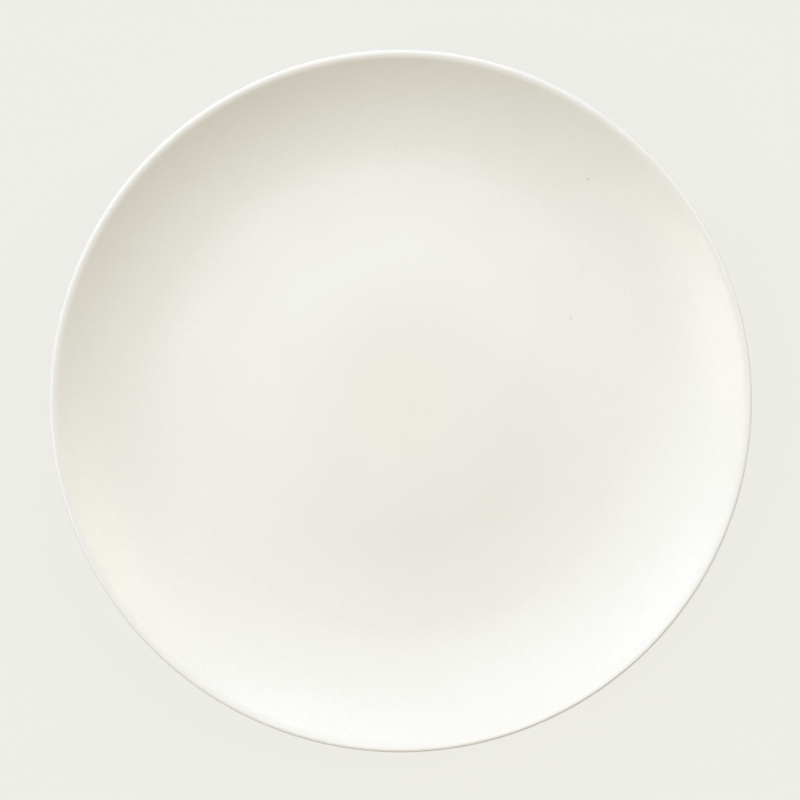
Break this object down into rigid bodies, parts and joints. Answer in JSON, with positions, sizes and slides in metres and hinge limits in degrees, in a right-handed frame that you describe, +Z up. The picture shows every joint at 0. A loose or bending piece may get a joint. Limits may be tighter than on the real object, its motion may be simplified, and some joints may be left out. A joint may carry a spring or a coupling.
{
  "type": "coupe dinner plate",
  "caption": "Round rimless dinner plate whose curved wall sweeps up from a slightly domed floor to a rounded lip, on a low foot ring.",
  "frame": {"origin": "on the plate's axis, at the level of the foot ring's standing face", "axes": "+Z up along the plate's axis, out of the eating surface; X and Y are any two square directions, because the plate is round"},
  "size_m": [0.27, 0.27, 0.023],
  "materials": {
    "stoneware": "dry, unglazed and finely sanded",
    "cream_glaze": "smooth satin cream glaze"
  },
  "bodies": {
    "root": {"stoneware_body": "stoneware", "glaze_coat": "cream_glaze", "base_glaze": "cream_glaze"}
  },
  "joints": []
}
